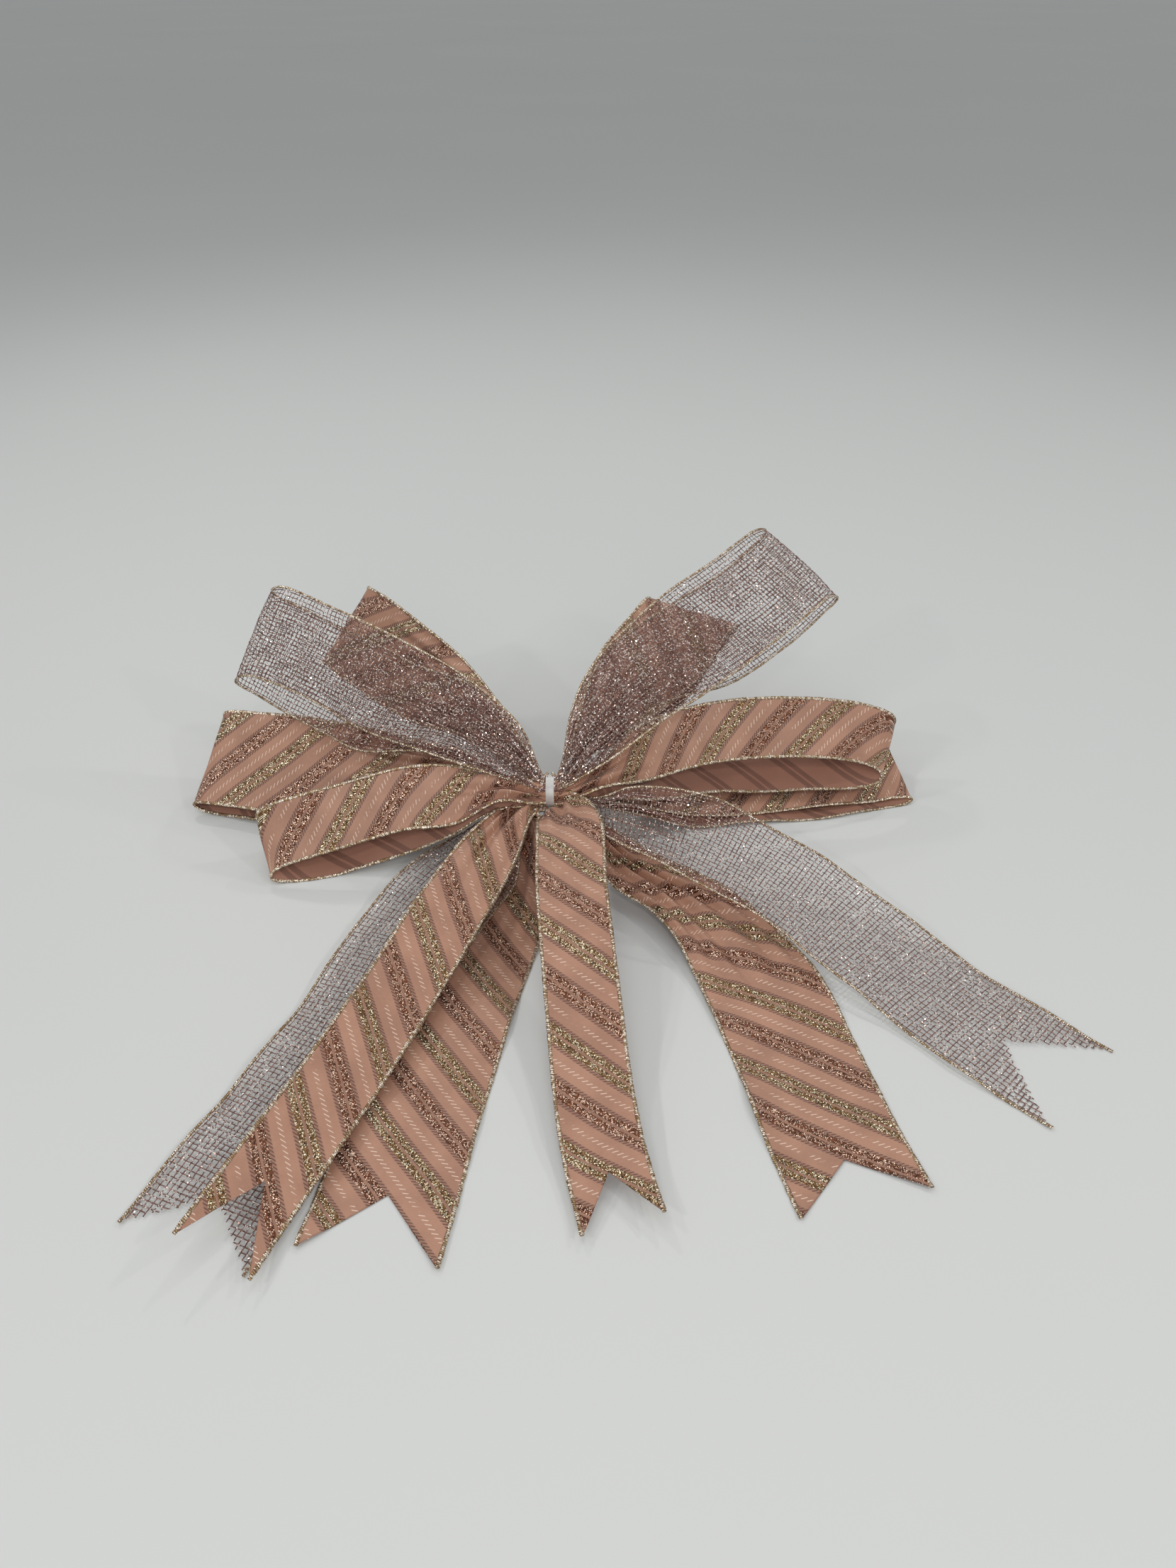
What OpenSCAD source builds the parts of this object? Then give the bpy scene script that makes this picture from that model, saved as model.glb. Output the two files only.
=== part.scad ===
// Pre-made gift bow: wired satin and mesh ribbon pinched together by one nylon cable tie.
// Loops fan out to the left and right of the tie and dovetailed tails spread in front of it.
// X runs along the bow from left to right, -Y points to the tails, +Z is up. The origin is
// the centre of the flat glue face under the cable tie's head.

/* [Ribbon] */
// Width of the wide satin ribbon from edge to edge
wide_w = 63.5; // [62:0.5:64]
// Width of the narrow satin ribbon from edge to edge
narrow_w = 38; // [37:0.5:38.5]
// Width of the mesh ribbon from edge to edge
mesh_w = 66; // [64:0.5:67]
// Thickness of the ribbon, with its small folds pressed flat
ribbon_t = 0.6; // [0.5:0.1:0.7]
// Width of the metallic binding sewn round each edge
binding_w = 1.8; // [1.6:0.1:2]
// Thickness of the binding
binding_t = 1; // [1:0.1:1.1]
// Size across the soft wire inside each binding
wire_d = 0.3; // [0.2:0.1:0.4]
// Depth of the V cut at the end of the centre tail
notch_d = 26; // [15:1:28]

/* [Cable tie] */
// Width of the tie's strap
strap_w = 4.8; // [3.6:0.1:5]
// Thickness of the tie's strap
strap_t = 1.3; // [1:0.1:1.4]
// Radius of the pinched ribbon inside the tie
pinch_r = 8; // [7.5:0.1:8.2]
// Length of the tie's head along the strap
head_l = 8; // [7:0.5:9]
// Height of the tie's head
head_h = 5.5; // [5:0.1:6]

/* [Hidden] */
// Height of the middle of the tie above the surface that the bow lies on
knot_z = 45;
// Gap between the tie and the pinched ribbon, and between two ribbons in the pinch
tie_gap = 0.05;
pinch_gap = 0.05;
// Height of the head's glue face above that surface
face_z = knot_z - pinch_r - tie_gap - strap_t - head_h;
head_w = strap_w + 3;
core_l = 12;
// The slot through the head, how far it sits below the head's middle, and the strap left over
slot_h = 2.2;
slot_rise = 0.6;
stub_l = 5;
// How much narrower the strap is inside the slot, so that it slides
strap_play = 0.4;
// Heights in the pinch that part the wide satin from the mesh above and the narrow satin below
mesh_from = 4;
narrow_to = -2;
// Sub-rings between two stations of a ribbon
steps = 2;
// Rings over which the V cut of a tail deepens, and how it curves
cut_rings = 5;
cut_curve = 1.5;
// Gap that keeps a ribbon's side off its bindings
side_gap = 0.15;
channel_d = wire_d + 0.4;
eps = 0.01;

// Each ribbon is a row of stations: the middle of the ribbon [x, y, z] above the surface,
// the compass angle and rise of the line across it, its spread as a share of the full
// width, and the height of its arch. Loops run out of the tie, round and back into it.
LEFT_FRONT = [
    [-8.5, 0, 46.4, 90, 0, .16, 0], [-28, -1, 47.5, 90, 10, .58, 0], [-56, 0, 42, 88, 36, .97, 0],
    [-86, -1, 40, 90, 52, 1, 0], [-125, -7, 31, 98, 53, 1, 0], [-158, -14, 24, 110, 48, 1, 0],
    [-168, -17, 18.3, 112, 43, 1, 0], [-163.5, -16, 12.6, 110, 38, 1, 0], [-140, -10, 8, 104, 22, 1, 0],
    [-115, -4, 12, 96, 30, 1, 0], [-84, 0, 22, 92, 38, 1, 0], [-56, -1, 34.5, 90, 28, .97, 0],
    [-28, -1, 44, 90, 8, .58, 0], [-8.5, 0, 45, 90, 0, .16, 0]];
LEFT_BACK = [
    [-8.5, 2.5, 43.5, 90, 0, .10, 0], [-28, 11, 42, 90, 6, .25, 0], [-58, 31, 38, 88, 28, .44, 0],
    [-97, 35, 34, 84, 36, .78, 0], [-142, 42, 31, 81, 39, 1, 0], [-190, 54, 30, 77, 38, 1, 0],
    [-212, 60, 28, 76, 37, 1, 0], [-218, 62, 24, 76, 36, 1, 0], [-208, 60, 20, 77, 34, 1, 0],
    [-180, 54, 18.5, 79, 32, 1, 0], [-142, 45, 19, 81, 30, 1, 0], [-98, 38, 22, 84, 28, .78, 0],
    [-59, 31, 31.5, 88, 24, .44, 0], [-28, 11, 38.6, 90, 4, .25, 0], [-8.5, 2.5, 42.1, 90, 0, .10, 0]];
LEFT_UPPER = [
    [-8.5, 1, 49.2, 90, 0, .10, 0], [-13, 8, 51.2, 62, 4, .15, 0], [-19, 23, 54, 50, 18, .25, 0],
    [-45, 58, 59, 38, 40, .5, 0],
    [-80, 91, 63, 30, 50, .88, 0], [-118, 124, 72, 20, 54, 1, 0], [-136, 141, 76, 16, 54, 1, 0],
    [-139, 147, 73, 16, 54, 1, 0], [-130, 146, 66, 18, 53, 1, 0], [-90, 110, 56, 30, 48, .88, 0],
    [-51, 68, 54, 38, 38, .5, 0], [-20, 25, 51, 50, 14, .25, 0],
    [-13.5, 10, 50, 62, 5, .15, 0], [-8.5, 1.5, 47.9, 90, 0, .10, 0]];
LEFT_MESH = [
    [-8.5, 0, 52.2, 90, 0, .10, 0], [-26, 13, 64, 66, 30, .42, 0], [-58, 30, 76, 45, 48, .76, 0],
    [-102, 50, 84, 33, 58, 1, 0], [-148, 76, 94, 29, 60, 1, 0], [-176, 92, 98, 29, 60, 1, 0],
    [-188, 100, 93, 29, 60, 1, 0], [-186, 103, 86, 29, 59, 1, 0], [-174, 98, 82, 29, 57, 1, 0],
    [-149, 83, 82, 30, 53, 1, 0], [-120, 64, 78, 33, 49, 1, 0], [-97, 54, 71, 36, 46, .96, 0],
    [-60, 44, 66, 46, 36, .74, 0], [-28, 18, 59, 66, 18, .40, 0], [-8.5, 0.5, 50.8, 90, 0, .10, 0]];
RIGHT_MESH = [
    [8.5, 0, 52.2, 90, 0, .10, 0], [23, 18, 70, 128, 15, .45, 0], [45, 42, 86, 142, 26, .85, 0],
    [86, 79, 102, 150, 32, 1, 0], [128, 118, 114, 152, 33, 1, 0], [151, 142, 120, 152, 33, 1, 0],
    [161, 154, 117, 152, 33, 1, 0], [162, 160, 110, 152, 33, 1, 0], [153, 156, 102, 152, 33, 1, 0],
    [128, 134, 91, 150, 33, 1, 0], [88, 103, 81, 148, 32, 1, 0], [46, 68, 77, 140, 22, .7, 0],
    [25, 28, 63, 128, 15, .40, 0], [8.5, 0.5, 50.8, 90, 0, .10, 0]];
RIGHT_UPPER = [
    [8.5, 1, 49.3, 90, 0, .10, 0], [13.5, 9, 52, 125, 4, .16, 0], [17, 34, 56, 150, 6, .3, 0],
    [37, 67, 60, 155, 10, .7, 0],
    [61, 105, 68, 165, 14, 1, 0], [81, 137, 78, 169, 14, 1, 0], [90, 151, 81, 169, 14, 1, 0],
    [93, 157, 78, 169, 14, 1, 0], [88, 154, 72, 169, 14, 1, 0], [76, 136, 65, 168, 14, 1, 0],
    [54, 100, 56, 162, 13, 1, 0], [32, 64, 53, 150, 10, .7, 0], [16, 34, 51, 150, 5, .3, 0],
    [12.5, 10, 50, 125, 3, .16, 0], [8.5, 1.5, 47.9, 90, 0, .10, 0]];
RIGHT_FRONT = [
    [8.5, 1, 46.4, 90, 0, .16, 0], [28, 11, 48.5, 92, 16, .55, 0], [56, 30, 52, 92, 42, .97, 0],
    [94, 48, 53, 91, 52, 1, 0], [136, 57, 52, 89, 54, 1, 0], [178, 62, 47, 80, 50, 1, 0],
    [203, 64, 40, 72, 47, 1, 0], [212, 64, 32, 70, 44, 1, 0], [206, 63, 25, 76, 34, 1, 0],
    [188, 61, 22, 82, 26, 1, 0], [150, 60, 21, 86, 22, 1, 0], [100, 54, 23, 88, 22, 1, 0],
    [60, 32, 34, 90, 20, .97, 0], [28, 11, 43.5, 90, 6, .55, 0], [8.5, 1, 45, 90, 0, .16, 0]];
RIGHT_LOW = [
    [8.5, 3.5, 43.5, 90, 0, .10, 0], [27, 13, 37.5, 90, 4, .3, 0], [55, 34, 23, 92, 10, .6, 0],
    [90, 54, 13, 93, 14, .9, 0], [135, 64, 12, 94, 15, 1, 0], [180, 71, 13, 97, 16, 1, 0],
    [210, 76, 17, 104, 24, 1, 0], [220, 76, 17, 106, 27, 1, 0], [216, 74, 12, 103, 20, 1, 0],
    [196, 70, 6.5, 98, 10, 1, 0], [166, 62, 3.2, 94, 4, 1, 0], [128, 58, 2.2, 92, 2, 1, -.5],
    [88, 48, 5, 92, 4, .9, 0], [54, 31, 17, 92, 6, .6, 0], [27, 12, 33, 90, 3, .3, 0],
    [8.5, 3.5, 42.1, 90, 0, .10, 0]];
LEFT_MESH_TAIL = [
    [-8.5, -3, 39.2, -90, 0, .10, 0], [-15, -5, 37, -78, 0, .18, 0], [-26, -12, 27, -55, 0, .46, 0],
    [-41, -27, 14, -35, -1, .88, 0], [-58, -48, 9, -18, -1, 1, 0], [-76, -85, 6.4, -20, 0, 1, 0],
    [-95, -140, 4.4, -24, 0, 1, 0], [-116, -190, 3.4, -28, 0, 1, 0], [-134, -228, 2.6, -30, 0, 1, 0],
    [-150, -266, 2, -32, 0, 1, 0]];
LEFT_TAIL = [
    [-8.5, -4, 40.6, -90, 0, .18, 0], [-14, -6, 40.2, -72, -2, .24, 0], [-22, -18, 38.5, -42, -8, .46, 0],
    [-34, -44, 35, -26, -14, .9, 0], [-54, -86, 25, -26, -20, 1, 0], [-73, -130, 17, -26, -20, 1, 0],
    [-91, -176, 14, -24, -22, 1, 0], [-106, -213, 13, -25, -22, 1, 0], [-119, -244, 12.5, -26, -22, 1, 0],
    [-132, -277, 12, -28, -22, 1, 0]];
LEFT_UNDER_TAIL = [
    [-8.5, -2, 37.8, -90, 0, .10, 0], [-14, -4.5, 34.5, -75, 0, .2, 0], [-20, -15, 23, -45, 0, .42, 0],
    [-26, -38, 8, -22, 0, .88, 0], [-36, -78, 1.2, -14, 0, 1, -.3], [-46, -122, 1, -11, 0, 1, -.5],
    [-54, -165, 1, -10, 0, 1, -.5], [-61, -205, 1, -10, 0, 1, -.5], [-66, -240, 1, -10, 0, 1, -.5],
    [-71, -270, 1, -10, 0, 1, -.5]];
CENTRE_TAIL = [
    [8.5, -4.5, 40.6, 90, 0, .18, 0], [12.5, -8.5, 42, 58, 2, .36, 0], [12, -20, 45, 22, 4, .78, 0],
    [12, -42, 48, 8, 4, 1, 0], [13, -76, 43, 2, 4, 1, 0], [16, -112, 36, 4, 4, 1, 0],
    [20, -150, 23, 4, 5, 1, 0], [24, -188, 13, 2, 5, 1, 0], [29, -222, 8, 2, 6, 1, 0],
    [37, -258, 7.5, 4, 8, 1, 0]];
RIGHT_TAIL = [
    [8.5, -3, 37.8, 90, 0, .10, 0], [14, -6.5, 35, 70, 0, .16, 0], [25, -18, 28.5, 45, 0, .32, 0],
    [44, -37, 20, 32, 2, .5, 0], [70, -54, 15, 18, 0, .62, 0], [95, -80, 9, 5, -3, .84, 0],
    [114, -118, 3, -6, -1, 1, 0], [125, -160, 1.2, -8, 0, 1, -.4], [133, -200, 1, -10, 0, 1, -.5],
    [144, -244, 1, -8, 0, 1, -.5]];
RIGHT_MESH_TAIL = [
    [8.5, -4, 39.2, 90, 0, .10, 0], [15, -7, 39.5, 78, 2, .15, 0], [27, -15, 41, 64, 6, .34, 0],
    [48, -22, 44, 70, 8, .75, 0], [86, -34, 38, 62, 4, 1, 0], [120, -50, 28, 56, 2, 1, 0],
    [158, -76, 15, 50, 0, 1, 0], [194, -112, 5, 44, 0, 1, 0], [226, -148, 2, 41, 0, 1, 0],
    [260, -181, 1.4, 40, 0, 1, 0]];

SATIN = "#c58e7c";
MESH = "#b9a09c";
THREAD = "#bfa06a";
WIRE = "#8a8a8c";
NYLON = "#d9d9d6";

// Name, stations, whether it is a loop, width, colour and share of the V cut's depth of each
// stretch of ribbon
RIBBONS = [
    ["left_front_loop", LEFT_FRONT, true, narrow_w, SATIN, 0],
    ["left_back_loop", LEFT_BACK, true, wide_w, SATIN, 0],
    ["left_upper_loop", LEFT_UPPER, true, wide_w, SATIN, 0],
    ["left_mesh_loop", LEFT_MESH, true, mesh_w, MESH, 0],
    ["right_mesh_loop", RIGHT_MESH, true, mesh_w, MESH, 0],
    ["right_upper_loop", RIGHT_UPPER, true, wide_w, SATIN, 0],
    ["right_front_loop", RIGHT_FRONT, true, narrow_w, SATIN, 0],
    ["right_low_loop", RIGHT_LOW, true, wide_w, SATIN, 0],
    ["left_mesh_tail", LEFT_MESH_TAIL, false, mesh_w, MESH, 1],
    ["left_tail", LEFT_TAIL, false, narrow_w, SATIN, 1.5],
    ["left_under_tail", LEFT_UNDER_TAIL, false, wide_w, SATIN, 1.2],
    ["centre_tail", CENTRE_TAIL, false, narrow_w, SATIN, 1],
    ["right_tail", RIGHT_TAIL, false, wide_w, SATIN, 0.9],
    ["right_mesh_tail", RIGHT_MESH_TAIL, false, mesh_w, MESH, 1.6]];

function unit(v) = v / norm(v);
function clamp_at(s, i) = s[max(0, min(len(s) - 1, i))];
// A smooth curve through four neighbouring stations
function through(a, b, c, d, t) =
    0.5 * (2 * b + (c - a) * t + (2 * a - 5 * b + 4 * c - d) * t * t + (3 * b - a - 3 * c + d) * t * t * t);
function smooth(s, n) = concat(
    [for (i = [0:len(s) - 2], k = [0:n - 1])
        through(clamp_at(s, i - 1), s[i], s[i + 1], clamp_at(s, i + 2), k / n)],
    [s[len(s) - 1]]);

function middle(r) = [r[0], r[1], r[2]];
function heading(r) = [cos(r[4]) * cos(r[3]), cos(r[4]) * sin(r[3]), sin(r[4])];
function along(rings, i) = unit(middle(clamp_at(rings, i + 1)) - middle(clamp_at(rings, i - 1)));
// The line across a ring: as given on a loop and at the tie, square to the run on a tail
function square_to(w, t) = unit(w - t * (w * t));
function across(r, rings, i) =
    r[2] || i == 0 ? heading(rings[i]) : square_to(heading(rings[i]), along(rings, i));
function face(r, rings, i) = unit(cross(along(rings, i), across(r, rings, i)));

// How far the V cut draws the middle of a tail back at one ring
function cut_back(r, rings, i) =
    r[5] * notch_d * pow(max(0, (i + 1 + cut_rings - len(rings)) / cut_rings), cut_curve);

// A point at share u across the ribbon, with side mm added outwards and lift mm off its face
function at(r, rings, i, u, side, lift) =
    middle(rings[i])
    + across(r, rings, i) * (u * (r[3] / 2 * rings[i][5]) + sign(u) * side)
    + face(r, rings, i) * (lift + rings[i][6] * (1 - u * u))
    - along(rings, i) * (1 - abs(u)) * cut_back(r, rings, i);

function rings_of(r) = smooth(r[1], steps);

// The section of a flat cord of width w and height h, centred in one bound edge
function cord_ring(r, rings, i, u, w, h) =
    [for (c = [[-1, -1], [1, -1], [1, 1], [-1, 1]])
        at(r, rings, i, u, (c[0] * w - binding_w) / 2, -u * c[1] * h / 2)];

// The section of the wire, a three-sided cord
function wire_ring(r, rings, i, u) =
    [for (k = [0:2])
        at(r, rings, i, u, (wire_d * cos(120 * k) - binding_w) / 2, u * wire_d / 2 * sin(-120 * k))];

// The two triangles between neighbouring rows at points k and l of n, split along the
// same line on the upper and the lower side so that a twisted strip keeps its thickness
function cell(a, b, k, l, flip) =
    flip ? [[a + k, a + l, b + k], [a + l, b + l, b + k]]
    : [[a + k, a + l, b + l], [a + k, b + l, b + k]];

// A closed skin over rows of n points each
module skin(rows, n) {
    last = len(rows) - 1;
    polyhedron(
        points = [for (row = rows, p = row) p],
        faces = concat(
            [[for (k = [n - 1:-1:0]) k]],
            [for (i = [0:last - 1], k = [0:n - 1],
                f = cell(i * n, (i + 1) * n, k, (k + 1) % n, k >= n / 2)) f],
            [[for (k = [0:n - 1]) last * n + k]]));
}

// A closed tube whose rows hold n outer points and then n inner points
module tube(rows, n) {
    last = len(rows) - 1;
    w = 2 * n;
    polyhedron(
        points = [for (row = rows, p = row) p],
        faces = concat(
            [for (k = [0:n - 1], f = cell(0, n, k, (k + 1) % n, false)) [f[2], f[1], f[0]]],
            [for (i = [0:last - 1], k = [0:n - 1],
                f = cell(i * w, (i + 1) * w, k, (k + 1) % n, k >= n / 2)) f],
            [for (i = [0:last - 1], k = [0:n - 1],
                f = cell(i * w + n, (i + 1) * w + n, k, (k + 1) % n, k >= n / 2)) [f[2], f[1], f[0]]],
            [for (k = [0:n - 1], f = cell(last * w, last * w + n, k, (k + 1) % n, false)) f]));
}

// The cloth between the two bindings
module cloth(r) {
    rings = rings_of(r);
    inset = -binding_w - side_gap;
    h = ribbon_t / 2;
    color(r[4])
    translate([0, 0, -face_z])
    skin([for (i = [0:len(rings) - 1]) [
        at(r, rings, i, -1, inset, h), at(r, rings, i, 0, 0, h), at(r, rings, i, 1, inset, h),
        at(r, rings, i, 1, inset, -h), at(r, rings, i, 0, 0, -h), at(r, rings, i, -1, inset, -h)]], 6);
}

// The bound edges, each hollow for its wire
module bindings(r) {
    rings = rings_of(r);
    color(THREAD)
    translate([0, 0, -face_z])
    for (u = [-1, 1])
        tube([for (i = [0:len(rings) - 1]) concat(
            cord_ring(r, rings, i, u, binding_w, binding_t),
            cord_ring(r, rings, i, u, channel_d, channel_d))], 4);
}

// The soft wires that hold the ribbon's shape
module wires(r) {
    rings = rings_of(r);
    color(WIRE)
    translate([0, 0, -face_z])
    for (u = [-1, 1])
        skin([for (i = [0:len(rings) - 1]) wire_ring(r, rings, i, u)], 3);
}

// A share of the crushed ribbon inside the tie, between two heights
module pinched(low, high) {
    translate([0, 0, knot_z - face_z])
    rotate([0, 90, 0])
    intersection() {
        cylinder(h = core_l, r = pinch_r, center = true, $fn = 32);
        translate([-(low + high) / 2, 0, 0])
        cube([high - low - pinch_gap, 2 * pinch_r + 1, core_l + 1], center = true);
    }
}

module pinched_mesh() {
    color(MESH)
    pinched(mesh_from, pinch_r + 1);
}

module pinched_wide_satin() {
    color(SATIN)
    pinched(narrow_to, mesh_from);
}

module pinched_narrow_satin() {
    color(SATIN)
    pinched(-pinch_r - 1, narrow_to);
}

// One moulding: strap ring, head with the strap through it, and the trimmed end
module cable_tie() {
    ring_r = pinch_r + tie_gap;
    head_z = head_h / 2;
    color(NYLON) {
        translate([0, 0, knot_z - face_z])
        rotate([0, 90, 0])
        difference() {
            cylinder(h = strap_w, r = ring_r + strap_t, center = true, $fn = 48);
            cylinder(h = strap_w + 1, r = ring_r, center = true, $fn = 48);
        }
        difference() {
            translate([0, 0, (head_h + strap_t) / 2])
            cube([head_w, head_l, head_h + strap_t], center = true);
            // the open slot beside the strap, where the pawl springs
            translate([0, 0, head_z - slot_rise])
            cube([strap_w, head_l + 1, slot_h], center = true);
            translate([0, 0, knot_z - face_z])
            rotate([0, 90, 0])
            cylinder(h = head_w + 1, r = ring_r, center = true, $fn = 48);
        }
        // the strap's trimmed end, held in the slot by the pawl
        translate([0, (head_l + stub_l) / 2 - head_l, head_z - slot_rise + (slot_h - strap_t) / 2 + eps])
        cube([strap_w - strap_play, head_l + stub_l, strap_t], center = true);
    }
}

for (r = RIBBONS) {
    cloth(r);
    bindings(r);
    wires(r);
}
cable_tie();
pinched_wide_satin();
pinched_narrow_satin();
pinched_mesh();
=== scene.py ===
"""Looks of the pre-made gift bow: wired satin and net ribbon pinched together by a nylon cable tie.

Every ribbon follows the stations of its CAD strip, in millimetres above the surface the bow
lies on, and is fuller than the strip where it meets the tie. Here it gets its real cloth: pleats
where it is gathered, woven pattern, glitter, overlocked edges, and for the net its threads.
"""
import math

import bpy
import numpy as np
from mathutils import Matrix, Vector


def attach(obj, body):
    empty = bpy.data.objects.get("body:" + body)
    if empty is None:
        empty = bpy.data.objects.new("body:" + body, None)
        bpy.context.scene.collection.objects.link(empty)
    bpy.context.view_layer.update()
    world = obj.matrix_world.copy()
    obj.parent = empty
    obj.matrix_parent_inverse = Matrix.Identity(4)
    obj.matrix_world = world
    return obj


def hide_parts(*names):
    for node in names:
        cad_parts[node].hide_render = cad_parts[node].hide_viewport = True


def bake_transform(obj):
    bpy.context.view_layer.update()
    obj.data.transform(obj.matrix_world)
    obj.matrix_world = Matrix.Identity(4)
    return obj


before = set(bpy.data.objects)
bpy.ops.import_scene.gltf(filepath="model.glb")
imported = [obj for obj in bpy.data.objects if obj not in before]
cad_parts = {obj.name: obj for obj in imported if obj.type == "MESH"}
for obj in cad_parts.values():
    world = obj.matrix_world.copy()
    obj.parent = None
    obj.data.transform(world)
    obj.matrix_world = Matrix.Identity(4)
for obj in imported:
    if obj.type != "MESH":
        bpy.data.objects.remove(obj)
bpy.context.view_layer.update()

MM = 0.001

# Driving sizes in millimetres, as in the CAD model
WIDE = 63.5
NARROW = 38.0
NET = 66.0
BINDING_W = 1.8
CLOTH_T = 0.35
KNOT_Z = 45.0
PINCH_R = 8.0
TIE_GAP = 0.05
STRAP_W = 4.8
STRAP_T = 1.3
HEAD_L = 8.0
HEAD_H = 5.5
FACE_Z = KNOT_Z - PINCH_R - TIE_GAP - STRAP_T - HEAD_H
FLOOR_Z = -FACE_Z * MM
# The floor lies this far below the plane the bow rests on, and edges stay this far above it
FLOOR_GAP = 0.0001

# ---------------------------------------------------------------- camera, lights and floor

# Place in metres, with the height above the surface, and the angle below level in degrees
CAMERA_AT = (0.022, -0.552, 0.451)
LOOKS_DOWN = 36
SENSOR_MM = 36
LENS_MM = 27.0326


def add_camera():
    """The camera that took the photo, as far as its perspective shows."""
    data = bpy.data.cameras.new("camera")
    data.sensor_fit = "VERTICAL"
    data.sensor_height = SENSOR_MM
    data.lens = LENS_MM
    data.clip_start = 0.01
    camera = bpy.data.objects.new("camera", data)
    bpy.context.scene.collection.objects.link(camera)
    camera.location = Vector(CAMERA_AT) + Vector((0, 0, FLOOR_Z))
    camera.rotation_euler = (math.radians(90 - LOOKS_DOWN), 0, 0)
    bpy.context.scene.camera = camera


add_camera()

# The light: a grey sky, two large lamps, and a ring of small ones that the glitter catches,
# with places and sizes in metres and power in watts
SKY = (0.96, 0.97, 0.98, 1)
SKY_STRENGTH = 0.40
OVERHEAD = {"at": (-0.2, 0.1, 1.5), "size": 0.9, "watts": 2.0}
FRONT = {"at": (0.1, -1.3, 0.8), "size": 0.7, "watts": 4.0}
LAMPS = 7
LAMPS_AWAY = 1.1
LAMPS_LOW = 0.9
LAMPS_STEP = 0.25
LAMP_SIZE = 0.06
LAMP_WATTS = 1.5
WARM_WHITE = (1, 0.98, 0.95)
FLOOR_RADIUS = 14


def add_light(name, at, size, watts, colour=(1, 1, 1)):
    """A round area light that shines at the bow."""
    data = bpy.data.lights.new(name, "AREA")
    data.shape = "DISK"
    data.size = size
    data.energy = watts
    data.color = colour
    light = bpy.data.objects.new(name, data)
    bpy.context.scene.collection.objects.link(light)
    light.location = at
    light.rotation_euler = (-Vector(at)).to_track_quat("-Z", "Y").to_euler()


def add_lights():
    """The sky, the two large lamps and the ring of small ones."""
    world = bpy.data.worlds.new("studio")
    bpy.context.scene.world = world
    world.use_nodes = True
    background = world.node_tree.nodes["Background"]
    background.inputs["Color"].default_value = SKY
    background.inputs["Strength"].default_value = SKY_STRENGTH
    bpy.context.scene.view_settings.view_transform = "Standard"
    add_light("overhead", **OVERHEAD)
    add_light("front", **FRONT)
    for k in range(LAMPS):
        angle = 2 * math.pi * (k + 0.3) / LAMPS
        height = LAMPS_LOW + LAMPS_STEP * (k % 2)
        at = (LAMPS_AWAY * math.cos(angle), LAMPS_AWAY * math.sin(angle), height)
        add_light(f"lamp_{k}", at, LAMP_SIZE, LAMP_WATTS, WARM_WHITE)


def add_floor():
    """The surface the bow lies on, which is staging and no part of it."""
    bpy.ops.mesh.primitive_circle_add(vertices=96, radius=FLOOR_RADIUS, fill_type="TRIFAN",
                                      location=(0, 0, FLOOR_Z - FLOOR_GAP))
    floor = bpy.context.object
    floor.name = "floor"
    floor.data.materials.append(floor_material())


# ---------------------------------------------------------------- materials


class Field:
    """A number that a material works out at each point, so that node sums read as formulas."""

    def __init__(self, tree, socket):
        self.tree = tree
        self.socket = socket

    def op(self, kind, *values):
        node = self.tree.nodes.new("ShaderNodeMath")
        node.operation = kind
        for port, value in zip(node.inputs, (self,) + values):
            if isinstance(value, Field):
                self.tree.links.new(value.socket, port)
            else:
                port.default_value = value
        return Field(self.tree, node.outputs[0])

    def __add__(self, other):
        return self.op("ADD", other)

    def __sub__(self, other):
        return self.op("SUBTRACT", other)

    def __mul__(self, other):
        return self.op("MULTIPLY", other)

    def __truediv__(self, other):
        return self.op("DIVIDE", other)

    def inverse(self):
        return self * -1.0 + 1.0

    def absolute(self):
        return self.op("ABSOLUTE")

    def from_middle_of(self, period):
        """Distance from the nearest whole multiple of period."""
        return ((self / period + 0.5).op("FRACT") - 0.5).absolute() * period

    def ramp(self, low, high):
        """0 below low, 1 above high, smooth between; falls instead where low is above high."""
        node = self.tree.nodes.new("ShaderNodeMapRange")
        node.interpolation_type = "SMOOTHSTEP"
        self.tree.links.new(self.socket, node.inputs["Value"])
        ends = (low, high, 0, 1) if low < high else (high, low, 1, 0)
        for port, value in zip(("From Min", "From Max", "To Min", "To Max"), ends):
            node.inputs[port].default_value = value
        return Field(self.tree, node.outputs[0])


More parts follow.
